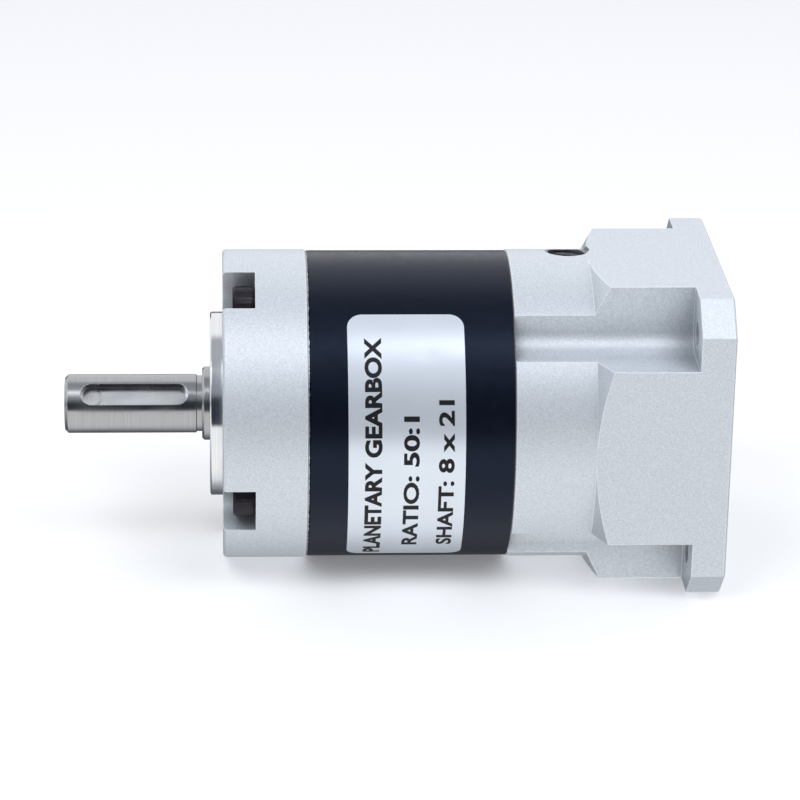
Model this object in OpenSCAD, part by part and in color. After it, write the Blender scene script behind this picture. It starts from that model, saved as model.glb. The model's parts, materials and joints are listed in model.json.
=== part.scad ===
// Two-stage planetary gearbox with a keyed output shaft and a square motor flange.
// +X runs along the shaft towards the motor, and +Z is up. The origin is the centre of the
// output mounting face. Angles around the axis are measured from +Y towards +Z.

/* [Body] */
// Diameter of the round body
body_d = 42; // [42:0.5:44]
// Length of the front housing, from the mounting face to the ring gear
front_l = 11.2; // [11:0.1:12]
// Length of the ring gear sleeve
ring_l = 27.3; // [27.2:0.1:30]
// Length of the rear housing
rear_l = 28.5; // [28.5:0.5:32]
// Rounding of the front housing's outer edge
nose_r = 0.55; // [0.4:0.05:1.2]
// How much smaller in diameter the ring gear sleeve is than the housings
ring_step = 0.3; // [0:0.05:0.5]

/* [Output side] */
// Diameter of the output shaft
shaft_d = 8; // [7:0.5:8.5]
// How far the output shaft stands out of the mounting face
shaft_l = 21.4; // [20:0.2:26]
// Width of the keyway
key_w = 3; // [2:0.5:3]
// Depth of the keyway
key_depth = 1.8; // [1.2:0.1:2]
// Where around the shaft the keyway is
key_angle = 139.4; // [90:0.1:180]
// Diameter of the pilot that centres the gearbox
pilot_d = 25; // [24:0.5:26]
// Height of the pilot above the mounting face
pilot_h = 1.7; // [1.5:0.1:2]
// Circle of the four tapped mounting holes
mount_pcd = 34; // [33:0.5:34.5]

/* [Motor flange] */
// Side of the square motor flange
flange_w = 42; // [42:0.5:43]
// Thickness of the flange behind the corner notches
flange_t = 4.6; // [4:0.2:6]
// Chamfer on the flange's four corners
corner_cut = 4.1; // [3.5:0.1:4.5]
// Side of the square of the motor screws
motor_bolt_s = 31; // [31:0.1:31.4]
// Diameter of the motor screws' through holes
motor_bolt_d = 3.4; // [3.2:0.1:3.6]
// Diameter of the motor's own pilot
motor_pilot_d = 22; // [21:0.5:22]
// Diameter of the motor shaft that the input hub holds
motor_shaft_d = 5; // [4:0.5:5]
// Length of the motor shaft
motor_shaft_l = 24; // [23.5:0.1:24]

/* [Gears] */
// Module of the output stage
out_module = 0.6; // [0.59:0.002:0.6]
// Module of the input stage
in_module = 0.35; // [0.344:0.002:0.35]
// Tooth thickness taken off for backlash, on each gear
backlash = 0.07; // [0.05:0.01:0.08]

/* [Hidden] */
$fn = 96;
eps = 0.02;
body_r = body_d / 2;
ring_r = body_r - ring_step / 2;

// Stations along the axis, and the spigots that centre the housings in the ring gear
spigot_l = 2;
spigot_r = body_r - 5.45;
spigot_play = 0.03;
ring_x = front_l;
rear_x = ring_x + ring_l;
end_x = rear_x + rear_l;

// Ball bearings, 10 x 19 x 5 mm
bearing_bore_r = 5;
bearing_r = 9.5;
bearing_w = 5;
ball_r = 1.19;
ball_pitch_r = 7.25;
ball_count = 9;
ball_play = 0.08;
race_t = 1.2;
shield_t = 0.2;
front_bearing_x = 1.5;
rear_bearing_x = front_l + spigot_l - bearing_w;
input_bearing_x = rear_x - 1.9;
lip_r = 7.6;

// Screws that hold the body together
clamp_pcd_r = 17.75;
screw_r = 1.5;
screw_l = 40;
head_r = 2.75;
head_h = 3;
pocket_w = 7.2;
pocket_x = 4.35;
screw_play = 0.15;
first_screw = 22.5;

// Gear teeth
pressure = 20;
flank_steps = 3;
out_teeth = [12, 18, 48];
in_teeth = [9, 36, 81];
out_shift = 0.3;
in_shift = 0.35;
out_addendum = [1.0, 1.0, 0.9];
in_addendum = [0.85, 0.85, 0.8];
dedendum = 1.25;
first_planet = 90;
out_arm = out_module * (out_teeth[0] + out_teeth[1]) / 2;
in_arm = in_module * (in_teeth[0] + in_teeth[1]) / 2;

// Planet carriers
carrier_r = 13.4;
washer_gap = 0.05;
washer_t = 0.25;
side_gap = washer_gap + washer_t;
out_disc_t = 2.5;
in_disc_t = 2;
plate_t = 1.5;
out_face = 6.8;
in_face = 5.5;
out_disc_x = front_l + spigot_l + 0.6;
out_gear_x = out_disc_x + out_disc_t + side_gap;
out_plate_x = out_gear_x + out_face + side_gap;
in_disc_x = out_plate_x + plate_t + 0.5;
in_gear_x = in_disc_x + in_disc_t + side_gap;
in_plate_x = in_gear_x + in_face + side_gap;
out_pin_r = 1.5;
in_pin_r = 1.2;
pin_play = 0.05;
out_post_r = 2.6;
out_post_arm = 9.6;
in_post_r = 1.9;
in_post_arm = 11.3;
plate_screw_r = 1;
plate_screw_l = 6;
plate_head_r = 1.9;
plate_head_h = 0.9;

// Output shaft
key_end_gaps = [2.2, 4.7];
tip_chamfer = 0.45;
relief_from = -3.6;
relief_to = -2.8;
relief_depth = 0.2;
seat_from = -2.5;
circlip_x = 0.45;
circlip_t = 1;
circlip_depth = 0.25;

// Motor side
round_l = 10.7;
clamp_from_end = 20.23;
cavity_r = 10.6;
cavity_x = input_bearing_x + bearing_w + 1;
pilot_seat_depth = 2;
pilot_play = 0.05;
clamp_x = end_x - clamp_from_end;
clamp_w = 6;
clamp_r = 8.2;
sleeve_r = 3.6;
sleeve_end_x = clamp_x + clamp_w / 2 + 0.8;
slit_w = 0.8;
clamp_screw_y = 5.2;
clamp_screw_r = 1.25;
clamp_seat_z = 3;
access_r = 3.05;
access_y = 3.44;
notch_wall = 12.25;
notch_r = 3.25;
edge = 0.25;

// Label
label_x = ring_x + 5.2;
label_l = 15.4;
label_half = 55;
label_t = 0.12;

// Shapes along the axis

module rod(x, length, r, r2 = -1) {
    translate([x, 0, 0]) rotate([0, 90, 0]) cylinder(h = length, r1 = r, r2 = r2 < 0 ? r : r2);
}

module tube(x, length, r_out, r_in) {
    difference() {
        rod(x, length, r_out);
        rod(x - 1, length + 2, r_in);
    }
}

// A turned shape, from points given as [distance along X, radius]
module turned(points) {
    rotate([0, 90, 0]) rotate_extrude() polygon([for (p = points) [p[1], p[0]]]);
}

module around(count, first, radius) {
    for (k = [0:count - 1])
        rotate([first + 360 * k / count, 0, 0]) translate([0, radius, 0]) children();
}

// Gear teeth

function involute(a) = tan(a) * 180 / PI - a;

function half_tooth(teeth, mod, shift, play, r) =
    90 / teeth + (2 * shift * tan(pressure) - play / mod) / teeth * 180 / PI
    + involute(pressure) - involute(acos(min(1, mod * teeth / 2 * cos(pressure) / r)));

// The outline of an external gear, with a tooth centred on angle 0
function gear_outline(teeth, mod, shift, root, tip, play) =
    let (
        base = mod * teeth / 2 * cos(pressure),
        start = max(base, root),
        flank = [for (i = [0:flank_steps]) start + (tip - start) * i / flank_steps],
        rise = root < base - 0.001 ? concat([root], flank) : flank,
        last = len(rise) - 1
    )
    [for (k = [0:teeth - 1], side = [-1, 1], i = [0:last])
        let (
            r = rise[side < 0 ? i : last - i],
            a = 360 * k / teeth + side * half_tooth(teeth, mod, shift, play, max(r, start))
        )
        r * [cos(a), sin(a)]];

function sun_outline(mod, teeth, shift, addendum) = gear_outline(
    teeth[0], mod, shift,
    mod * (teeth[0] / 2 + shift - dedendum), mod * (teeth[0] / 2 + shift + addendum[0]), backlash
);

function planet_outline(mod, teeth, shift, addendum) = gear_outline(
    teeth[1], mod, -shift,
    mod * (teeth[1] / 2 - shift - dedendum), mod * (teeth[1] / 2 - shift + addendum[1]), backlash
);

// The space inside the ring gear: its tooth gaps are the teeth of this outline
function ring_outline(mod, teeth, shift, addendum) = gear_outline(
    teeth[2], mod, -shift,
    mod * (teeth[2] / 2 - shift - addendum[2]), mod * (teeth[2] / 2 - shift + dedendum), -backlash
);

// How far the sun is turned so that it meshes with a planet at first_planet
function sun_phase(teeth) =
    first_planet * (1 + teeth[2] / teeth[0]) + 180 * (teeth[1] - 1) / teeth[0];

module toothed(x, width, outline) {
    translate([x, 0, 0]) rotate([90, 0, 90]) linear_extrude(width) polygon(outline);
}

module planet(k, x, width, mod, teeth, shift, addendum, arm, bore_r) {
    angle = first_planet + 120 * k;
    rotate([angle, 0, 0]) translate([0, arm, 0]) rotate([-angle * teeth[2] / teeth[1], 0, 0])
        difference() {
            toothed(x, width, planet_outline(mod, teeth, shift, addendum));
            rod(x - 1, width + 2, bore_r);
        }
}

// Planet carriers

module carrier_screws(plate_x, arm) {
    around(3, first_planet + 60, arm) {
        rod(plate_x + plate_t - plate_screw_l, plate_screw_l - plate_head_h, plate_screw_r);
        difference() {
            rod(plate_x + plate_t - plate_head_h, plate_head_h, plate_screw_r, plate_head_r);
            rod(plate_x + plate_t - plate_head_h + 0.2, plate_head_h, 0.6, $fn = 6);
        }
    }
}

module carrier_plate(plate_x, centre_r, arm, pin_r, post_arm) {
    difference() {
        rod(plate_x, plate_t, carrier_r);
        rod(plate_x - 1, plate_t + 2, centre_r);
        around(3, first_planet, arm) rod(plate_x - 1, plate_t + 2, pin_r);
        around(3, first_planet + 60, post_arm) {
            rod(plate_x - 1, plate_t + 2, plate_screw_r);
            rod(plate_x + plate_t - plate_head_h, plate_head_h, plate_screw_r, plate_head_r);
        }
    }
}

module thrust_washers(gear_x, width, arm, pin_r, washer_r) {
    around(3, first_planet, arm) {
        tube(gear_x - side_gap, washer_t, washer_r, pin_r);
        tube(gear_x + width + washer_gap, washer_t, washer_r, pin_r);
    }
}

// Ball bearings

module race(x, r_in, r_out) {
    rotate([0, 90, 0]) rotate_extrude() difference() {
        translate([r_in, x]) square([r_out - r_in, bearing_w]);
        translate([ball_pitch_r, x + bearing_w / 2]) circle(r = ball_r + ball_play);
    }
}

module bearing_outer(x) {
    color("lightsteelblue") {
        race(x, bearing_r - race_t, bearing_r);
        for (side_x = [x, x + bearing_w - shield_t])
            tube(side_x, shield_t, bearing_r - race_t, bearing_bore_r + race_t + 0.1);
    }
}

module bearing_inner(x) {
    color("silver") race(x, bearing_bore_r, bearing_bore_r + race_t);
}

module bearing_balls(x) {
    color("gainsboro") around(ball_count, 0, ball_pitch_r)
        translate([x + bearing_w / 2, 0, 0]) sphere(r = ball_r);
}

module bearing_cage(x) {
    color("goldenrod") difference() {
        tube(x + 0.8, bearing_w - 1.6, ball_pitch_r + 0.45, ball_pitch_r - 0.45);
        around(ball_count, 0, ball_pitch_r) translate([x + bearing_w / 2, -1, 0])
            rotate([-90, 0, 0]) cylinder(h = 2, r = ball_r + ball_play);
    }
}

// Housings

module front_housing() {
    pilot_r = pilot_d / 2;
    face_r = body_r - nose_r;
    pilot_break = 0.2;
    rear_break = 0.1;
    shaft_gap = 0.3;
    tap_r = 1.65;
    tap_depth = 8;
    tap_break = 0.4;
    color("lightgray") difference() {
        turned(concat(
            [[-pilot_h, 0], [-pilot_h, pilot_r - pilot_break], [-pilot_h + pilot_break, pilot_r],
             [0, pilot_r]],
            [for (a = [0:15:90]) [nose_r - nose_r * cos(a), face_r + nose_r * sin(a)]],
            [[front_l - rear_break, body_r], [front_l, body_r - rear_break],
             [front_l, spigot_r], [front_l + spigot_l, spigot_r], [front_l + spigot_l, 0]]
        ));
        rod(-pilot_h - 1, 20, bearing_bore_r + shaft_gap);
        rod(0, 3, lip_r);
        rod(front_bearing_x, 20, bearing_r);
        around(4, first_screw, clamp_pcd_r) {
            rod(-1, pocket_x + 1, pocket_w / 2);
            translate([-1, 0, -pocket_w / 2]) cube([pocket_x + 1, 10, pocket_w]);
            rod(0, 20, screw_r + screw_play);
        }
        around(4, first_screw + 45, mount_pcd / 2) {
            rod(-1, tap_depth + 1, tap_r);
            rod(-eps, tap_break, tap_r + tap_break, tap_r);
        }
    }
}

module ring_gear() {
    relief_r = 15.3;
    front_bevel = [0.35, 0.13];
    rear_bevel = 0.12;
    teeth_inset = 3;
    socket_r = spigot_r + spigot_play;
    zone_break = in_disc_x + 0.2;
    color([0.07, 0.07, 0.09]) difference() {
        turned([
            [ring_x, 0], [ring_x, ring_r - front_bevel[1]], [ring_x + front_bevel[0], ring_r],
            [rear_x - rear_bevel, ring_r], [rear_x, ring_r - rear_bevel], [rear_x, 0]
        ]);
        rod(ring_x - 1, spigot_l + 1, socket_r);
        rod(ring_x + spigot_l - eps, 1.5, relief_r);
        toothed(ring_x + teeth_inset, zone_break - ring_x - teeth_inset,
            ring_outline(out_module, out_teeth, out_shift, out_addendum));
        rod(zone_break - 0.5, 1, relief_r);
        toothed(zone_break, rear_x - teeth_inset - zone_break,
            ring_outline(in_module, in_teeth, in_shift, in_addendum));
        rod(rear_x - teeth_inset - 0.5, teeth_inset, relief_r);
        rod(rear_x - spigot_l, spigot_l + 1, socket_r);
        around(4, first_screw, clamp_pcd_r) rod(ring_x - 1, ring_l + 2, screw_r + screw_play);
    }
}

// The flange's square with its corners cut off
module flange_outline(inset = 0) {
    s = flange_w / 2 - inset;
    c = s - corner_cut;
    polygon([[s, c], [c, s], [-c, s], [-s, c], [-s, -c], [-c, -s], [c, -s], [s, -c]]);
}

// A thin wedge that breaks the flange's edges at one end
module flange_edge_cuts(x) {
    corner_distance = (flange_w - corner_cut) / sqrt(2);
    for (k = [0:7])
        rotate([45 * k, 0, 0]) translate([x, k % 2 == 0 ? flange_w / 2 : corner_distance, 0])
            rotate([0, 0, 45]) cube([edge * sqrt(2), edge * sqrt(2), flange_w * 1.1], center = true);
}

module corner_notches() {
    back_x = end_x - flange_t;
    far = body_d;
    for (sy = [-1, 1], sz = [-1, 1]) scale([1, sy, sz]) {
        centre = notch_wall + notch_r;
        translate([rear_x - 1, centre, notch_wall]) cube([back_x - rear_x + 1, far, far]);
        translate([rear_x - 1, notch_wall, centre]) cube([back_x - rear_x + 1, far, far]);
        translate([0, centre, centre]) rod(rear_x - 1, back_x - rear_x + 1, notch_r);
    }
}

module rear_housing() {
    step_x = rear_x + round_l;
    full_r = flange_w * 0.75;
    cone_l = (full_r - body_r) / tan(60);
    front_break = 0.15;
    color("lightgray") difference() {
        intersection() {
            turned([
                [rear_x - spigot_l, 0], [rear_x - spigot_l, spigot_r], [rear_x, spigot_r],
                [rear_x, body_r - front_break], [rear_x + front_break, body_r], [step_x, body_r],
                [step_x + cone_l, full_r], [end_x, full_r], [end_x, 0]
            ]);
            translate([rear_x - spigot_l - 1, 0, 0]) rotate([90, 0, 90])
                linear_extrude(rear_l + spigot_l + 2) flange_outline();
        }
        corner_notches();
        flange_edge_cuts(end_x);
        rod(rear_x - spigot_l - 1, input_bearing_x + bearing_w - rear_x + spigot_l + 1, bearing_r);
        rod(rear_x - spigot_l, 10, lip_r);
        rod(cavity_x, rear_l, cavity_r);
        rod(end_x - pilot_seat_depth, pilot_seat_depth + 1, motor_pilot_d / 2 + pilot_play);
        for (y = [-1, 1], z = [-1, 1])
            translate([0, y * motor_bolt_s / 2, z * motor_bolt_s / 2])
                rod(end_x - flange_t - 1, flange_t + 2, motor_bolt_d / 2);
        around(4, first_screw, clamp_pcd_r) rod(rear_x - 1, pocket_x + screw_l - rear_x + 2, screw_r);
        translate([clamp_x, access_y, 0]) cylinder(h = body_d, r = access_r);
    }
}

module housing_screws() {
    socket_depth = 1.6;
    color([0.06, 0.06, 0.07]) around(4, first_screw, clamp_pcd_r) {
        rod(pocket_x, screw_l, screw_r);
        difference() {
            turned([
                [pocket_x - head_h, 0], [pocket_x - head_h, head_r - 0.25],
                [pocket_x - head_h + 0.25, head_r], [pocket_x, head_r], [pocket_x, 0]
            ]);
            rod(pocket_x - head_h - 1, socket_depth + 1, 2.5 / sqrt(3), $fn = 6);
        }
    }
}

module rating_label() {
    half_z = ring_r * sin(label_half);
    corner = 1.2;
    color("whitesmoke") intersection() {
        tube(label_x, label_l, ring_r + label_t, ring_r);
        translate([label_x, 0, -half_z]) rotate([90, 0, 0]) linear_extrude(body_d) union() {
            translate([corner, 0]) square([label_l - 2 * corner, 2 * half_z]);
            translate([0, corner]) square([label_l, 2 * half_z - 2 * corner]);
            for (u = [corner, label_l - corner], v = [corner, 2 * half_z - corner])
                translate([u, v]) circle(r = corner);
        }
    }
}

// Output stage

module keyway() {
    key_from = -shaft_l + key_end_gaps[0] + key_w / 2;
    key_to = -key_end_gaps[1] - key_w / 2;
    floor_r = shaft_d / 2 - key_depth;
    rotate([key_angle, 0, 0]) {
        for (x = [key_from, key_to])
            translate([x, floor_r, 0]) rotate([-90, 0, 0]) cylinder(h = shaft_d, r = key_w / 2);
        translate([key_from, floor_r, -key_w / 2]) cube([key_to - key_from, shaft_d, key_w]);
    }
}

module output_shaft() {
    r = shaft_d / 2;
    seat_r = bearing_bore_r;
    groove_r = seat_r - circlip_depth;
    relief_r = r - relief_depth;
    edge_break = 0.3;
    shoulder_x = front_l + spigot_l;
    disc_end = out_disc_x + out_disc_t;
    color("silver") difference() {
        union() {
            turned([
                [-shaft_l, 0], [-shaft_l, r - tip_chamfer], [-shaft_l + tip_chamfer, r],
                [relief_from, r], [relief_from + 0.1, relief_r], [relief_to, relief_r],
                [relief_to, seat_r - edge_break], [seat_from, seat_r],
                [circlip_x, seat_r], [circlip_x, groove_r],
                [circlip_x + circlip_t, groove_r], [circlip_x + circlip_t, seat_r],
                [shoulder_x, seat_r], [shoulder_x, seat_r + 1], [out_disc_x, seat_r + 1],
                [out_disc_x, carrier_r], [disc_end, carrier_r], [disc_end, 0]
            ]);
            around(3, first_planet + 60, out_post_arm)
                rod(disc_end - 0.5, out_plate_x - disc_end + 0.5, out_post_r);
        }
        keyway();
        rod(-shaft_l - eps, 1.2, 1.1, 0);
        around(3, first_planet, out_arm) rod(out_disc_x - 1, out_disc_t + 2, out_pin_r);
        around(3, first_planet + 60, out_post_arm)
            rod(out_plate_x + plate_t - plate_screw_l - 0.5, plate_screw_l, plate_screw_r);
    }
}

module shaft_circlip() {
    color("dimgray") difference() {
        tube(circlip_x, circlip_t, 6.5, bearing_bore_r - circlip_depth);
        translate([0, 0, -1]) cube([4, 8, 2]);
    }
}

module output_carrier_plate() {
    color("silver") carrier_plate(out_plate_x, 4.7, out_arm, out_pin_r, out_post_arm);
}

module output_carrier_screws() {
    color("dimgray") carrier_screws(out_plate_x, out_post_arm);
}

module output_planet_pins() {
    color("gainsboro") around(3, first_planet, out_arm)
        rod(out_disc_x, out_plate_x + plate_t - out_disc_x, out_pin_r);
}

module output_thrust_washers() {
    color("darkgoldenrod") thrust_washers(out_gear_x, out_face, out_arm, out_pin_r, 3);
}

module output_planet(k) {
    color("slategray") planet(k, out_gear_x, out_face, out_module, out_teeth, out_shift,
        out_addendum, out_arm, out_pin_r + pin_play);
}

// Input stage

module input_carrier() {
    sun_x = out_gear_x + 0.1;
    disc_end = in_disc_x + in_disc_t;
    color("silver") difference() {
        union() {
            rotate([sun_phase(out_teeth), 0, 0]) toothed(sun_x, in_disc_x - sun_x + 0.5,
                sun_outline(out_module, out_teeth, out_shift, out_addendum));
            rod(in_disc_x, in_disc_t, carrier_r);
            around(3, first_planet + 60, in_post_arm)
                rod(disc_end - 0.5, in_plate_x - disc_end + 0.5, in_post_r);
        }
        around(3, first_planet, in_arm) rod(in_disc_x - 1, in_disc_t + 2, in_pin_r);
        around(3, first_planet + 60, in_post_arm)
            rod(in_plate_x + plate_t - plate_screw_l - 0.5, plate_screw_l, plate_screw_r);
    }
}

module input_carrier_plate() {
    color("silver") carrier_plate(in_plate_x, 2.6, in_arm, in_pin_r, in_post_arm);
}

module input_carrier_screws() {
    color("dimgray") carrier_screws(in_plate_x, in_post_arm);
}

module input_planet_pins() {
    color("gainsboro") around(3, first_planet, in_arm)
        rod(in_disc_x, in_plate_x + plate_t - in_disc_x, in_pin_r);
}

module input_thrust_washers() {
    color("darkgoldenrod") thrust_washers(in_gear_x, in_face, in_arm, in_pin_r, 2.4);
}

module input_planet(k) {
    color("slategray") planet(k, in_gear_x, in_face, in_module, in_teeth, in_shift,
        in_addendum, in_arm, in_pin_r + pin_play);
}

module input_hub() {
    shoulder_x = input_bearing_x - 0.8;
    seat_end = input_bearing_x + bearing_w;
    bore_x = end_x - motor_shaft_l - 0.3;
    slit_x = seat_end + 1.9;
    color("silver") difference() {
        union() {
            rotate([sun_phase(in_teeth), 0, 0]) toothed(in_gear_x + 0.1, shoulder_x - in_gear_x,
                sun_outline(in_module, in_teeth, in_shift, in_addendum));
            turned([
                [shoulder_x, 0], [shoulder_x, bearing_bore_r + 0.9],
                [input_bearing_x, bearing_bore_r + 0.9], [input_bearing_x, bearing_bore_r],
                [seat_end, bearing_bore_r], [seat_end, bearing_bore_r - 0.4],
                [slit_x, bearing_bore_r - 0.4], [slit_x, sleeve_r],
                [sleeve_end_x - 0.3, sleeve_r], [sleeve_end_x, sleeve_r - 0.3], [sleeve_end_x, 0]
            ]);
        }
        rod(bore_x, 20, motor_shaft_d / 2);
        translate([slit_x, -sleeve_r - 1, -slit_w / 2])
            cube([sleeve_end_x - slit_x + 1, 2 * sleeve_r + 2, slit_w]);
    }
}

module clamp_ring() {
    from_x = clamp_x - clamp_w / 2;
    color([0.16, 0.16, 0.17]) difference() {
        tube(from_x, clamp_w, clamp_r, sleeve_r);
        translate([from_x - 1, 0, -slit_w / 2]) cube([clamp_w + 2, clamp_r + 1, slit_w]);
        translate([from_x - 1, clamp_screw_y - 2.7, clamp_seat_z])
            cube([clamp_w + 2, clamp_r, clamp_r]);
        translate([clamp_x, clamp_screw_y, -clamp_r]) cylinder(h = 2 * clamp_r, r = clamp_screw_r);
    }
}

module clamp_screw() {
    head_top = clamp_seat_z + 2.5;
    color([0.06, 0.06, 0.07]) translate([clamp_x, clamp_screw_y, 0]) {
        translate([0, 0, -clamp_seat_z - 2]) cylinder(h = 2 * clamp_seat_z + 2, r = clamp_screw_r);
        difference() {
            translate([0, 0, clamp_seat_z]) cylinder(h = head_top - clamp_seat_z, r = 2.25);
            translate([0, 0, head_top - 1.3]) cylinder(h = 2, r = 2 / sqrt(3), $fn = 6);
        }
    }
}

module bearing_spacer() {
    from_x = front_bearing_x + bearing_w;
    color("gray") tube(from_x, rear_bearing_x - from_x, bearing_r, bearing_r - race_t);
}

front_housing();
ring_gear();
rear_housing();
housing_screws();
rating_label();
output_shaft();
shaft_circlip();
output_carrier_plate();
output_carrier_screws();
output_planet_pins();
output_thrust_washers();
output_planet(0);  // output_planet_1
output_planet(1);  // output_planet_2
output_planet(2);  // output_planet_3
input_carrier();
input_carrier_plate();
input_carrier_screws();
input_planet_pins();
input_thrust_washers();
input_planet(0);  // input_planet_1
input_planet(1);  // input_planet_2
input_planet(2);  // input_planet_3
input_hub();
clamp_ring();
clamp_screw();
bearing_spacer();
bearing_outer(front_bearing_x);  // front_bearing_outer
bearing_inner(front_bearing_x);  // front_bearing_inner
bearing_balls(front_bearing_x);  // front_bearing_balls
bearing_cage(front_bearing_x);  // front_bearing_cage
bearing_outer(rear_bearing_x);  // rear_bearing_outer
bearing_inner(rear_bearing_x);  // rear_bearing_inner
bearing_balls(rear_bearing_x);  // rear_bearing_balls
bearing_cage(rear_bearing_x);  // rear_bearing_cage
bearing_outer(input_bearing_x);  // input_bearing_outer
bearing_inner(input_bearing_x);  // input_bearing_inner
bearing_balls(input_bearing_x);  // input_bearing_balls
bearing_cage(input_bearing_x);  // input_bearing_cage
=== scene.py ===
"""Looks of the planetary gearbox: materials, label print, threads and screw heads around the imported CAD."""
import json
import math

import bmesh
import bpy
from mathutils import Matrix, Vector


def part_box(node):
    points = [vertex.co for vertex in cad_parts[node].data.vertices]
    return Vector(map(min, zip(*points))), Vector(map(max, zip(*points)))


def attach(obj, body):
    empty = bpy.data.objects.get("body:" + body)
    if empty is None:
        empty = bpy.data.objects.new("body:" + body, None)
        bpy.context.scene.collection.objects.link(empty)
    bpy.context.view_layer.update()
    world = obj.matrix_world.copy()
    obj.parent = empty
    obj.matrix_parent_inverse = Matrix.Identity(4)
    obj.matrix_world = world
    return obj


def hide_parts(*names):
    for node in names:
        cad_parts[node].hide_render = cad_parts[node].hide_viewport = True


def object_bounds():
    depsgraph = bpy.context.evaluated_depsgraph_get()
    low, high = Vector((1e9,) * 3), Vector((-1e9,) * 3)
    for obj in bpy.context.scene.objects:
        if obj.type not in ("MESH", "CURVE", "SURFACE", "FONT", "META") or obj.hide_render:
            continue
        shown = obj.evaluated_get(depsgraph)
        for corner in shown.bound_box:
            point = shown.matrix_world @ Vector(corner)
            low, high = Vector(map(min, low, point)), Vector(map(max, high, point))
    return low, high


MM = 0.001

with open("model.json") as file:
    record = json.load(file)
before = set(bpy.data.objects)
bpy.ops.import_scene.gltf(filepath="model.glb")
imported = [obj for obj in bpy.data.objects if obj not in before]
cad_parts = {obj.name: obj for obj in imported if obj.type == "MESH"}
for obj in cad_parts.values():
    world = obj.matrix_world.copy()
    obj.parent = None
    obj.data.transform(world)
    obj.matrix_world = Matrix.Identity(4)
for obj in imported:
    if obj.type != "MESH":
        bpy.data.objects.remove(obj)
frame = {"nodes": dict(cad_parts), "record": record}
nodes = frame["nodes"]
cad_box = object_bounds()
mounts = {mount["name"]: mount for mount in frame["record"]["mounts"]}

# Places that several pieces share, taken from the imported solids
ring_low, ring_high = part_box("ring_gear")
label_low, label_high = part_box("rating_label")
shaft_low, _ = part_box("output_shaft")
BODY_R = ring_high.z

# The first housing screw's angle from +Y towards +Z. The mounting holes lie midway between the screws.
FIRST_SCREW_DEG = 22.5


# ---------------------------------------------------------------- camera, floor and light

def add_camera():
    """A long lens, 21 degrees above the shaft's axis and turned slightly towards the motor end."""
    lens = 154.5
    distance = 469.4 * MM
    aside = 0.46 * MM
    elevation = math.radians(21.25)
    yaw = math.radians(2.90)
    roll = math.radians(-0.18)
    away = Vector((0, math.cos(elevation), -math.sin(elevation)))
    forward = Vector((1, 0, 0)) * math.sin(yaw) + away * math.cos(yaw)
    level = Vector((1, 0, 0)) * math.cos(yaw) - away * math.sin(yaw)
    upright = Vector((0, math.sin(elevation), math.cos(elevation)))
    right = level * math.cos(roll) + upright * math.sin(roll)
    up = upright * math.cos(roll) - level * math.sin(roll)
    data = bpy.data.cameras.new("camera")
    data.lens = lens
    data.sensor_width = 36
    data.shift_y = 0.0032
    data.clip_start = 0.01
    camera = bpy.data.objects.new("camera", data)
    turn = Matrix((right, up, -forward)).transposed()
    camera.matrix_world = Matrix.Translation(Vector((aside, 0, 0)) - away * distance) @ turn.to_4x4()
    bpy.context.scene.collection.objects.link(camera)
    bpy.context.scene.camera = camera


def link_nodes(tree, *pairs):
    for a, b in pairs:
        tree.links.new(a, b)


def add_world():
    """A room in bands along X, placed by degrees from -Y, the camera's side, up and over the top.

    It is near black behind the camera, grey above, white behind the object and low in front,
    and dark low behind.
    """
    world = bpy.data.worlds.new("studio")
    bpy.context.scene.world = world
    world.use_nodes = True
    tree = world.node_tree
    make = tree.nodes.new
    tree.nodes.clear()
    out = make("ShaderNodeOutputWorld")
    back = make("ShaderNodeBackground")
    coords = make("ShaderNodeTexCoord")
    split = make("ShaderNodeSeparateXYZ")
    toward = make("ShaderNodeMath")
    toward.operation = "MULTIPLY"
    toward.inputs[1].default_value = -1
    angle = make("ShaderNodeMath")
    angle.operation = "ARCTAN2"
    turns = make("ShaderNodeMapRange")
    turns.inputs["From Min"].default_value = -math.pi
    turns.inputs["From Max"].default_value = math.pi
    ramp = make("ShaderNodeValToRGB")
    stops = [
        (-180, (0.10, 0.105, 0.12)), (-125, (0.12, 0.125, 0.14)), (-104, (0.40, 0.41, 0.44)),
        (-88, (0.84, 0.86, 0.90)), (-68, (1.0, 1.0, 1.0)), (-9, (0.98, 0.99, 1.0)),
        (-6, (0.03, 0.035, 0.05)),
        (26, (0.03, 0.035, 0.05)), (33, (0.24, 0.26, 0.30)), (84, (0.42, 0.44, 0.49)),
        (95, (0.42, 0.44, 0.48)), (108, (0.40, 0.42, 0.46)),
        (118, (1.0, 1.0, 1.02)), (180, (0.95, 0.96, 0.98)),
    ]
    band = ramp.color_ramp
    while len(band.elements) > 1:
        band.elements.remove(band.elements[-1])
    for i, (degrees, colour) in enumerate(stops):
        at = (degrees + 180) / 360
        stop = band.elements[0] if i == 0 else band.elements.new(at)
        stop.position = at
        stop.color = (*colour, 1)
    link_nodes(
        tree,
        (coords.outputs["Generated"], split.inputs[0]),
        (split.outputs["Y"], toward.inputs[0]),
        (split.outputs["Z"], angle.inputs[0]),
        (toward.outputs[0], angle.inputs[1]),
        (angle.outputs[0], turns.inputs["Value"]),
        (turns.outputs["Result"], ramp.inputs["Fac"]),
        (ramp.outputs["Color"], back.inputs["Color"]),
        (back.outputs[0], out.inputs[0]),
    )
    back.inputs["Strength"].default_value = 1.0


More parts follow.
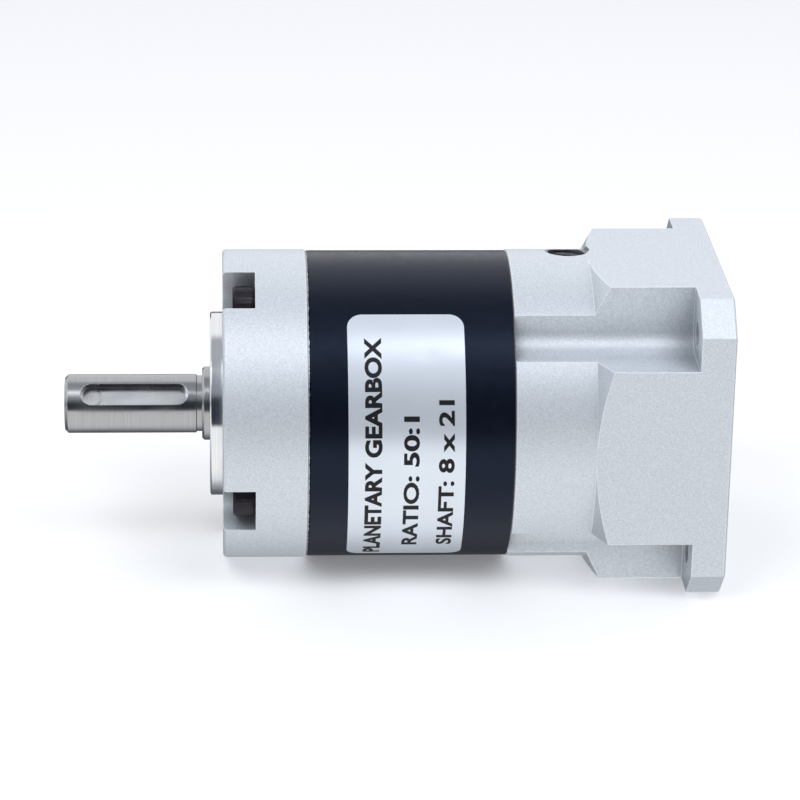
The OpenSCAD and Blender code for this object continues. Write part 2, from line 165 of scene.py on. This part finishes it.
def add_area(name, place, aim, size, power, colour=(1, 1, 1), mirrored=True):
    """An area lamp of a size in metres and a power in watts; mirrored says if glossy surfaces show it."""
    data = bpy.data.lights.new(name, "AREA")
    data.shape = "RECTANGLE"
    data.size, data.size_y = size
    data.energy = power
    data.color = colour
    lamp = bpy.data.objects.new(name, data)
    lamp.location = place
    lamp.rotation_mode = "QUATERNION"
    lamp.rotation_quaternion = (Vector(aim) - Vector(place)).to_track_quat("-Z", "Y")
    lamp.visible_glossy = mirrored
    bpy.context.scene.collection.objects.link(lamp)


def add_stage():
    """A pale floor under the object. The world lights the underside in place of the floor's bounce."""
    mesh = bpy.data.meshes.new("floor")
    half = 4.0
    z = cad_box[0].z
    corners = [(-half, -half, z), (half, -half, z), (half, half, z), (-half, half, z)]
    mesh.from_pydata(corners, [], [(0, 1, 2, 3)])
    floor = bpy.data.objects.new("floor", mesh)
    bpy.context.scene.collection.objects.link(floor)
    material = bpy.data.materials.new("floor_paper")
    material.use_nodes = True
    shader = material.node_tree.nodes["Principled BSDF"]
    shader.inputs["Base Color"].default_value = (0.97, 0.97, 0.975, 1)
    shader.inputs["Roughness"].default_value = 0.9
    shader.inputs["Specular IOR Level"].default_value = 0.1
    shader.inputs["Emission Color"].default_value = (1, 1, 1, 1)
    shader.inputs["Emission Strength"].default_value = 0.18
    floor.data.materials.append(material)
    floor.visible_diffuse = False
    floor.visible_glossy = False
    floor.visible_shadow = False


add_camera()
add_world()
add_stage()
for side in (-1, 1):
    soft_place = (0.02 + side * 0.26, -0.30, 0.52)
    add_area(f"soft_box_{side}", soft_place, (0.02, 0, 0), (0.30, 0.36), 1.18, colour=(0.96, 0.98, 1.0))
add_area("fill_front", (0.03, -0.70, 0.40), (0.03, 0, 0), (0.6, 0.4), 0.72, mirrored=False)
scene = bpy.context.scene
scene.view_settings.view_transform = "Standard"
scene.view_settings.exposure = 0.0


# ---------------------------------------------------------------- materials

class Shader:
    """A Principled material with small helpers for the node patterns that the finishes share."""

    def __init__(self, name, colour, metallic, roughness):
        self.material = bpy.data.materials.new(name)
        self.material.use_nodes = True
        self.tree = self.material.node_tree
        self.surface = self.tree.nodes["Principled BSDF"]
        self.surface.inputs["Base Color"].default_value = (*colour, 1)
        self.surface.inputs["Metallic"].default_value = metallic
        self.surface.inputs["Roughness"].default_value = roughness
        self.colour = colour
        self.where = self.tree.nodes.new("ShaderNodeTexCoord").outputs["Object"]

    def noise(self, scale, detail=2.0, stretch=(1, 1, 1)):
        """Noise with grains of about 1 / scale metres, drawn out along an axis by a small stretch."""
        mapping = self.tree.nodes.new("ShaderNodeMapping")
        mapping.inputs["Scale"].default_value = stretch
        texture = self.tree.nodes.new("ShaderNodeTexNoise")
        texture.inputs["Scale"].default_value = scale
        texture.inputs["Detail"].default_value = detail
        link_nodes(
            self.tree,
            (self.where, mapping.inputs["Vector"]),
            (mapping.outputs["Vector"], texture.inputs["Vector"]),
        )
        return texture.outputs["Fac"]

    def ramp(self, value, low, high, start=0.3, end=0.7):
        """Maps a noise value from start..end to low..high."""
        node = self.tree.nodes.new("ShaderNodeMapRange")
        node.inputs["From Min"].default_value = start
        node.inputs["From Max"].default_value = end
        node.inputs["To Min"].default_value = low
        node.inputs["To Max"].default_value = high
        link_nodes(self.tree, (value, node.inputs["Value"]))
        return node.outputs["Result"]

    def tint(self, value, low, high, start=0.3, end=0.7):
        """Varies the base colour between two brightnesses of itself, or between two colours."""
        pair = [
            c if isinstance(c, tuple) else tuple(c * channel for channel in self.colour)
            for c in (low, high)
        ]
        node = self.tree.nodes.new("ShaderNodeMix")
        node.data_type = "RGBA"
        node.inputs["A"].default_value = (*pair[0], 1)
        node.inputs["B"].default_value = (*pair[1], 1)
        link_nodes(
            self.tree,
            (self.ramp(value, 0, 1, start, end), node.inputs["Factor"]),
            (node.outputs["Result"], self.surface.inputs["Base Color"]),
        )

    def multiply(self, amount, by):
        """Multiplies the base colour by a number where amount is 1."""
        colour = self.surface.inputs["Base Color"]
        node = self.tree.nodes.new("ShaderNodeMix")
        node.data_type = "RGBA"
        node.blend_type = "MULTIPLY"
        node.inputs["B"].default_value = (by, by, by, 1)
        link_nodes(
            self.tree,
            (amount, node.inputs["Factor"]),
            (colour.links[0].from_socket, node.inputs["A"]),
            (node.outputs["Result"], colour),
        )

    def paint_edge_highlight(self, width, gain):
        """Paints highlights on edges: brightens the base colour where the rounded normal turns away from the
        flat one, in place of light caught by rounded edges.
        """
        bevel = self.tree.nodes.new("ShaderNodeBevel")
        bevel.samples = 6
        bevel.inputs["Radius"].default_value = width
        turned = self.tree.nodes.new("ShaderNodeVectorMath")
        turned.operation = "DOT_PRODUCT"
        flat = self.tree.nodes.new("ShaderNodeNewGeometry").outputs["Normal"]
        link_nodes(self.tree, (bevel.outputs["Normal"], turned.inputs[0]), (flat, turned.inputs[1]))
        self.multiply(self.ramp(turned.outputs["Value"], 1, 0, 0.86, 0.99), gain)

    def paint_corner_shade(self, distance, darkest):
        """Paints shade into inner corners and recesses: darkens the base colour where ambient occlusion finds
        nearby surfaces.
        """
        near = self.tree.nodes.new("ShaderNodeAmbientOcclusion")
        near.samples = 8
        near.inputs["Distance"].default_value = distance
        self.multiply(self.ramp(near.outputs["AO"], 1, 0, 0.45, 0.95), darkest)

    def rough(self, value, low, high):
        link_nodes(self.tree, (self.ramp(value, low, high), self.surface.inputs["Roughness"]))

    def relief(self, *layers, edge=0.0):
        """Bumps, each (height, strength, distance in metres), over edges rounded by edge metres."""
        normal = None
        if edge:
            bevel = self.tree.nodes.new("ShaderNodeBevel")
            bevel.samples = 6
            bevel.inputs["Radius"].default_value = edge
            normal = bevel.outputs["Normal"]
        for height, strength, distance in layers:
            bump = self.tree.nodes.new("ShaderNodeBump")
            bump.inputs["Strength"].default_value = strength
            bump.inputs["Distance"].default_value = distance
            link_nodes(self.tree, (height, bump.inputs["Height"]))
            if normal:
                link_nodes(self.tree, (normal, bump.inputs["Normal"]))
            normal = bump.outputs["Normal"]
        if normal:
            link_nodes(self.tree, (normal, self.surface.inputs["Normal"]))


def blasted_aluminium():
    """Clear anodised, bead-blasted: a pale blue-grey with a fine sparkle."""
    s = Shader("blasted_aluminium", (0.74, 0.785, 0.835), 0.5, 0.48)
    grain = s.noise(4200, 2)
    s.tint(grain, 0.90, 1.10)
    # Painted highlight: the base colour is brightened along edges, in place of light caught by their
    # rounding.
    s.paint_edge_highlight(0.00024, 1.8)
    # Painted shade: the base colour is darkened in inner corners, recesses and near the floor.
    s.paint_corner_shade(0.007, 0.66)
    s.relief((s.noise(5200, 2), 0.35, 0.00006), (s.noise(900, 2), 0.10, 0.00006), edge=0.00025)
    return s.material


def tapped_aluminium():
    """Bare walls of a tapped hole, in a dark grey much darker than the housing."""
    s = Shader("tapped_aluminium", (0.34, 0.34, 0.36), 1.0, 0.36)
    s.tint(s.noise(1500, 3), 0.7, 1.2)
    return s.material


def turned_aluminium():
    """Bare turned aluminium of the pilot, with fine tool marks around the axis."""
    s = Shader("turned_aluminium", (0.86, 0.875, 0.885), 1.0, 0.13)
    s.surface.inputs["Anisotropic"].default_value = 0.4
    marks = s.noise(1, 1, (14000, 60, 60))
    s.tint(marks, 0.93, 1.03)
    s.relief((marks, 0.12, 0.00001), edge=0.0001)
    return s.material


def black_sleeve():
    """Satin black of the ring gear."""
    s = Shader("black_sleeve", (0.0035, 0.0050, 0.0115), 0.0, 0.30)
    s.surface.inputs["Specular IOR Level"].default_value = 0.34
    s.surface.inputs["Specular Tint"].default_value = (0.5, 0.65, 1.0, 1)
    s.rough(s.noise(700, 3), 0.27, 0.34)
    s.relief((s.noise(3000, 2), 0.06, 0.00002), edge=0.00015)
    return s.material


def bare_edge(name, colour, paint_from):
    """A turned chamfer that the black finish leaves bare, up to a ragged line at paint_from along X."""
    s = Shader(name, colour, 0.9, 0.3)
    along = s.tree.nodes.new("ShaderNodeSeparateXYZ")
    ragged = s.tree.nodes.new("ShaderNodeMath")
    ragged.operation = "MULTIPLY_ADD"
    ragged.inputs[1].default_value = 0.0003
    link_nodes(
        s.tree,
        (s.where, along.inputs[0]),
        (s.noise(2600, 3), ragged.inputs[0]),
        (along.outputs["X"], ragged.inputs[2]),
    )
    edge = paint_from + ragged.inputs[1].default_value / 2
    s.tint(ragged.outputs[0], colour, (0.004, 0.005, 0.010), edge - 0.00003, edge + 0.00003)
    return s.material


def ground_steel():
    """Ground shaft steel with fine marks around it."""
    s = Shader("ground_steel", (0.45, 0.455, 0.46), 1.0, 0.2)
    marks = s.noise(1, 2, (9000, 90, 90))
    scuffs = s.noise(260, 3)
    s.tint(marks, 0.95, 1.05)
    s.rough(scuffs, 0.18, 0.28)
    s.relief((marks, 0.08, 0.00001), (s.noise(90, 1, (1, 3, 3)), 0.35, 0.0003), edge=0.0001)
    return s.material


def gear_steel():
    s = Shader("gear_steel", (0.36, 0.36, 0.37), 1.0, 0.32)
    s.tint(s.noise(500, 3), 0.85, 1.1)
    s.relief((s.noise(2600, 2), 0.1, 0.00002), edge=0.00006)
    return s.material


def bearing_steel():
    s = Shader("bearing_steel", (0.72, 0.72, 0.74), 1.0, 0.12)
    s.rough(s.noise(900, 2), 0.09, 0.16)
    s.relief((s.noise(1, 1, (9000, 80, 80)), 0.05, 0.00001), edge=0.00008)
    return s.material


def black_oxide():
    """Black oxide of the screws, slightly brown and uneven."""
    s = Shader("black_oxide", (0.017, 0.014, 0.020), 0.5, 0.36)
    s.tint(s.noise(1800, 3), 0.75, 1.5)
    s.relief((s.noise(3800, 2), 0.15, 0.00002), edge=0.00008)
    return s.material


def brass():
    s = Shader("cage_brass", (0.66, 0.46, 0.20), 1.0, 0.28)
    s.tint(s.noise(800, 3), 0.9, 1.08)
    s.relief((s.noise(2600, 2), 0.08, 0.00002))
    return s.material


def label_foil():
    """Satin silver foil, with soft waves where it was pressed on."""
    s = Shader("label_foil", (0.84, 0.90, 0.98), 0.45, 0.28)
    s.tint(s.noise(140, 2), 0.97, 1.02)
    s.relief((s.noise(6000, 2), 0.05, 0.00001), (s.noise(170, 1), 0.10, 0.0002))
    return s.material


def label_ink():
    s = Shader("label_ink", (0.008, 0.008, 0.011), 0.0, 0.5)
    s.surface.inputs["Specular IOR Level"].default_value = 0.3
    s.tint(s.noise(2500, 2), 0.8, 1.3)
    return s.material


FINISH = {
    "anodised_silver": blasted_aluminium(),
    "anodised_black": black_sleeve(),
    "black_oxide": black_oxide(),
    "ground_steel": ground_steel(),
    "gear_steel": gear_steel(),
    "bearing_steel": bearing_steel(),
    "label_foil": label_foil(),
    "brass_cage": brass(),
}
INK = label_ink()
TURNED = turned_aluminium()
TAPPED = tapped_aluminium()
CHAMFER_L = 0.35 * MM
BARE_FRONT = bare_edge("bare_front_edge", (0.66, 0.66, 0.70), ring_low.x + 0.16 * MM)
BARE_REAR = bare_edge("bare_rear_edge", (0.42, 0.36, 0.33), ring_high.x)


def dress_cad():
    """Gives every CAD node the finish of its material slot."""
    for part in frame["record"]["subparts"]:
        mesh = nodes[part["node"]].data
        mesh.materials.clear()
        mesh.materials.append(FINISH[part["material_slot"]])


def dress_pilot():
    """The pilot is turned bare, so its faces take the turned finish."""
    mesh = nodes["front_housing"].data
    mesh.materials.append(TURNED)
    front_face_x = 0.01 * MM
    reach = mounts["output_pilot"]["dims"]["r_mm"] * MM + 0.1 * MM
    for face in mesh.polygons:
        points = [mesh.vertices[i].co for i in face.vertices]
        if max(p.x for p in points) < front_face_x and max(p.yz.length for p in points) < reach:
            face.material_index = 1


def dress_access_hole():
    """The clamp screw's access hole is tapped through the finish, so its wall is bare."""
    hole = mounts["access_hole"]
    centre = Vector(hole["pos_m"][:2])
    reach = hole["dims"]["r_mm"] * MM + 0.02 * MM
    wall_from = 10 * MM
    mesh = nodes["rear_housing"].data
    mesh.materials.append(TAPPED)
    for face in mesh.polygons:
        points = [mesh.vertices[i].co for i in face.vertices]
        if min(p.z for p in points) > wall_from and max((p.xy - centre).length for p in points) < reach:
            face.material_index = 1


def dress_ring_edges():
    """The sleeve's two chamfers are left bare by its black finish."""
    mesh = nodes["ring_gear"].data
    mesh.materials.append(BARE_FRONT)
    mesh.materials.append(BARE_REAR)
    for face in mesh.polygons:
        points = [mesh.vertices[i].co for i in face.vertices]
        outside = min(p.yz.length for p in points) > BODY_R - 0.2 * MM
        if outside and max(p.x for p in points) < ring_low.x + CHAMFER_L + 0.01 * MM:
            face.material_index = 1
        elif outside and min(p.x for p in points) > ring_high.x - CHAMFER_L:
            face.material_index = 2


dress_cad()
dress_pilot()
dress_access_hole()
dress_ring_edges()


# ---------------------------------------------------------------- mesh helpers

def add_piece(name, bm, material, body="housing", smooth=True):
    """Turns a bmesh into a piece that rides on a body and counts as a material slot."""
    bmesh.ops.remove_doubles(bm, verts=bm.verts, dist=0.0005 * MM)
    bmesh.ops.recalc_face_normals(bm, faces=bm.faces)
    mesh = bpy.data.meshes.new(name)
    bm.to_mesh(mesh)
    bm.free()
    mesh.materials.append(material)
    if smooth:
        mesh.shade_smooth()
        mesh.set_sharp_from_angle(angle=math.radians(35))
    piece = bpy.data.objects.new(name, mesh)
    bpy.context.scene.collection.objects.link(piece)
    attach(piece, body)
    return piece


def on_body(x, angle, radius):
    """A point on the round body; the angle runs from -Y up towards +Z, in radians."""
    return Vector((x, -radius * math.cos(angle), radius * math.sin(angle)))


def grid_faces(bm, rows, closed=False):
    """Joins rows of vertices with quads; closed also joins each row's last vertex to its first."""
    for low, high in zip(rows, rows[1:]):
        count = len(low) if closed else len(low) - 1
        for i in range(count):
            j = (i + 1) % len(low)
            bm.faces.new((low[i], low[j], high[j], high[i]))


# ---------------------------------------------------------------- rating label

LABEL_R = BODY_R + 0.10 * MM
LABEL_FROM = math.radians(-55.2)
LABEL_TO = math.radians(54.9)
LABEL_SKEW = 0.007


def label_lean(arc):
    """The label was stuck on slightly askew, so it leans along X towards its lower end."""
    return 0.09 * MM - LABEL_SKEW * arc


def make_label():
    """The foil as a thin plate bent around the body, with round corners and one small dent."""
    corner = 2.0 * MM
    across = 24
    dent_depth = 0.03 * MM
    dent_r = 0.9 * MM
    dent = Vector((27.0 * MM, math.radians(38) * BODY_R))
    low_arc, high_arc = LABEL_FROM * BODY_R, LABEL_TO * BODY_R
    middle = (label_low.x + label_high.x) / 2
    half = (label_high.x - label_low.x) / 2
    straight = [low_arc + corner + (high_arc - low_arc - 2 * corner) * i / 120 for i in range(121)]
    curve = [corner * (1 - math.cos(math.pi / 2 * i / 10)) for i in range(10)]
    arcs = [low_arc + c for c in curve] + straight + [high_arc - c for c in reversed(curve)]
    bm = bmesh.new()
    sides = []
    for radius in (BODY_R + 0.004 * MM, LABEL_R):
        rows = []
        for arc in arcs:
            near_end = max(0, corner - min(arc - low_arc, high_arc - arc))
            inset = corner - math.sqrt(max(0, corner**2 - near_end**2))
            row = []
            for i in range(across + 1):
                x = middle + label_lean(arc) + (half - inset) * (2 * i / across - 1)
                away = (Vector((x, arc)) - dent).length / dent_r
                sink = dent_depth * math.exp(-away * away) if radius == LABEL_R else 0
                row.append(bm.verts.new(on_body(x, arc / BODY_R, radius - sink)))
            rows.append(row)
        grid_faces(bm, rows)
        sides.append(rows)
    under, top = sides
    rim = [
        [rows[0][i] for i in range(across + 1)] + [row[-1] for row in rows[1:]]
        + [rows[-1][i] for i in range(across - 1, -1, -1)] + [row[0] for row in rows[-2:0:-1]]
        for rows in (under, top)
    ]
    grid_faces(bm, rim, closed=True)
    piece = add_piece("label_plate", bm, FINISH["label_foil"])
    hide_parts("rating_label")


def print_line(name, text, centre_x, height, start_deg, length, weight):
    """Prints text on the label, reading upwards, fitted to a height and a length along the arc."""
    data = bpy.data.curves.new(name, "FONT")
    data.body = text
    data.offset = weight
    data.resolution_u = 4
    letters = bpy.data.objects.new(name, data)
    bpy.context.scene.collection.objects.link(letters)
    bpy.context.view_layer.update()
    flat = bpy.data.meshes.new_from_object(letters.evaluated_get(bpy.context.evaluated_depsgraph_get()))
    bpy.data.objects.remove(letters)
    bm = bmesh.new()
    bm.from_mesh(flat)
    bpy.data.meshes.remove(flat)
    low = Vector((min(v.co.x for v in bm.verts), min(v.co.y for v in bm.verts)))
    high = Vector((max(v.co.x for v in bm.verts), max(v.co.y for v in bm.verts)))
    for v in bm.verts:
        u = (v.co.x - low.x) / (high.x - low.x) * length
        v.co = Vector((u, (v.co.y - low.y) / (high.y - low.y) * height, 0))
    steps = int(length / (0.4 * MM))
    for i in range(1, steps):
        bmesh.ops.bisect_plane(
            bm, geom=bm.verts[:] + bm.edges[:] + bm.faces[:],
            plane_co=(length * i / steps, 0, 0), plane_no=(1, 0, 0),
        )
    ink = 0.010 * MM
    start = math.radians(start_deg) * BODY_R
    for v in bm.verts:
        arc = start + v.co.x
        x = centre_x + height / 2 - v.co.y + label_lean(arc)
        v.co = on_body(x, arc / BODY_R, LABEL_R + ink)
    add_piece(name, bm, INK, smooth=False)


def make_print():
    x = label_low.x
    print_line("label_print_type", "PLANETARY GEARBOX", x + 3.3 * MM, 2.3 * MM, -52.6, 35.6 * MM, 0.040)
    print_line("label_print_ratio", "RATIO: 50:1", x + 8.3 * MM, 2.1 * MM, -44.2, 22.0 * MM, 0.032)
    print_line("label_print_shaft", "SHAFT: 8 x 21", x + 12.9 * MM, 2.1 * MM, -43.9, 24.0 * MM, 0.030)


# ---------------------------------------------------------------- threads

def make_thread(name, place, axis, wall_r, crest_r, pitch, start, length, material, within=1.0):
    """A helical ridge on a hole's wall, cut off at a distance within from the X axis."""
    steps = 48
    root_r = wall_r + 0.02 * MM
    turn = Vector((0, 0, 1)).rotation_difference(axis).to_matrix()
    bm = bmesh.new()
    rows = []
    count = int(length / pitch * steps)
    for i in range(count + 1):
        angle = 2 * math.pi * i / steps
        fade = min(1, i / 16, (count - i) / 16)
        crest = root_r - (root_r - crest_r) * max(fade, 0.02)
        outward = Vector((math.cos(angle), math.sin(angle), 0))
        profile = [(root_r, 0.46), (crest, 0.08), (crest, -0.08), (root_r, -0.46)]
        row = []
        for r, side in profile:
            point = place + turn @ (outward * r + Vector((0, 0, start + pitch * (i / steps + side))))
            if point.yz.length > within:
                point.z = math.sqrt(within**2 - point.y**2)
            row.append(bm.verts.new(point))
        rows.append(row)
    grid_faces(bm, rows, closed=True)
    bm.faces.new(rows[0])
    bm.faces.new(rows[-1])
    add_piece(name, bm, material)


def make_threads():
    hole = mounts["access_hole"]
    wall = hole["dims"]["r_mm"] * MM
    x, y, _ = hole["pos_m"]
    make_thread("access_thread", Vector((x, y, 0)), Vector((0, 0, 1)), wall, 2.58 * MM, 1.0 * MM,
                11.0 * MM, 10.0 * MM, TAPPED, within=20.93 * MM)
    bolts = mounts["output_bolts"]["dims"]
    for k in range(bolts["count"]):
        angle = math.radians(FIRST_SCREW_DEG + 45 + 90 * k)
        centre = Vector((0, math.cos(angle), math.sin(angle))) * bolts["pcd_mm"] / 2 * MM
        make_thread(f"mount_thread_{k + 1}", centre, Vector((1, 0, 0)), bolts["hole_r_mm"] * MM,
                    1.45 * MM, 0.7 * MM, 0.8 * MM, 6.6 * MM, FINISH["anodised_silver"])


# ---------------------------------------------------------------- screws

def ring_points(bm, x, radius, count, flutes=0, depth=0.0):
    """A ring of vertices around the X axis, fluted if asked."""
    points = []
    for i in range(count):
        angle = 2 * math.pi * i / count
        r = radius - depth * (0.5 + 0.5 * math.cos(flutes * angle)) if flutes else radius
        points.append(bm.verts.new((x, r * math.cos(angle), r * math.sin(angle))))
    return points


def make_cap_screw(name, place, turn, material):
    """A socket cap screw along +X with its seat at place: knurled head, hexagon socket, plain shank."""
    count = 180
    head_r, head_h, shank_r, length = 2.75 * MM, 3.0 * MM, 1.5 * MM, 40 * MM
    socket_r, socket_depth = 2.5 * MM / math.sqrt(3), 1.6 * MM
    bm = bmesh.new()
    top = -head_h
    knurl = dict(flutes=36, depth=0.018 * MM)
    outline = [
        (top, head_r - 0.32 * MM, {}), (top + 0.08 * MM, head_r - 0.16 * MM, {}),
        (top + 0.30 * MM, head_r - 0.05 * MM, knurl), (top + 0.34 * MM, head_r, knurl),
        (-0.42 * MM, head_r, knurl), (-0.36 * MM, head_r - 0.05 * MM, {}), (0, head_r - 0.12 * MM, {}),
        (0, shank_r + 0.1 * MM, {}), (0.15 * MM, shank_r, {}), (length - 0.5 * MM, shank_r, {}),
        (length, shank_r - 0.4 * MM, {}),
    ]
    rows = [ring_points(bm, x, r, count, **style) for x, r, style in outline]
    grid_faces(bm, rows, closed=True)
    bm.faces.new(rows[-1])
    hexagon = []
    for depth in (0, socket_depth):
        corners = [
            bm.verts.new((top + depth, socket_r * math.cos(a), socket_r * math.sin(a)))
            for a in (math.pi / 3 * k for k in range(6))
        ]
        hexagon.append(corners)
    grid_faces(bm, hexagon, closed=True)
    tip = bm.verts.new((top + socket_depth + 0.5 * MM, 0, 0))
    for i in range(6):
        bm.faces.new((hexagon[1][i], hexagon[1][(i + 1) % 6], tip))
    share = count // 6
    for i in range(6):
        for j in range(share):
            a, b = rows[0][i * share + j], rows[0][(i * share + j + 1) % count]
            near = hexagon[0][i] if j < share // 2 else hexagon[0][(i + 1) % 6]
            bm.faces.new((near, a, b))
        bm.faces.new((hexagon[0][i], rows[0][i * share + share // 2], hexagon[0][(i + 1) % 6]))
    bmesh.ops.transform(bm, matrix=Matrix.Translation(place) @ Matrix.Rotation(turn, 4, "X"), verts=bm.verts)
    return add_piece(name, bm, material)


def make_housing_screws():
    low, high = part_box("housing_screws")
    circle_r = 17.75 * MM
    seat = low.x + 3.0 * MM
    for k in range(4):
        angle = math.radians(FIRST_SCREW_DEG + 90 * k)
        place = Vector((seat, circle_r * math.cos(angle), circle_r * math.sin(angle)))
        screw = make_cap_screw(f"housing_screw_{k + 1}", place, 0.4 + 1.3 * k, FINISH["black_oxide"])
        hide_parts("housing_screws")


# ---------------------------------------------------------------- keyway

def make_keyway_mark():
    """The round mark that the end mill left where it first went in, at the keyway's outer end."""
    floor_r = 2.2 * MM
    centre_x = shaft_low.x + 3.7 * MM
    key_angle = math.radians(40.6)
    out = Vector((0, -math.cos(key_angle), math.sin(key_angle)))
    along = Vector((1, 0, 0))
    side = along.cross(out)
    bm = bmesh.new()
    rows = []
    for radius, height in ((0.02, 0.010), (0.9, 0.012), (1.36, 0.016), (1.40, 0.010), (1.40, -0.02)):
        row = []
        for i in range(64):
            a = 2 * math.pi * i / 64
            flat = along * math.cos(a) + side * math.sin(a)
            centre = Vector((centre_x, 0, 0)) + out * (floor_r + height * MM)
            row.append(bm.verts.new(centre + flat * radius * MM))
        rows.append(row)
    grid_faces(bm, rows, closed=True)
    bm.faces.new(rows[0])
    bm.faces.new(rows[-1])
    add_piece("keyway_mill_mark", bm, FINISH["gear_steel"], body="output")


make_label()
make_print()
make_threads()
make_housing_screws()
make_keyway_mark()
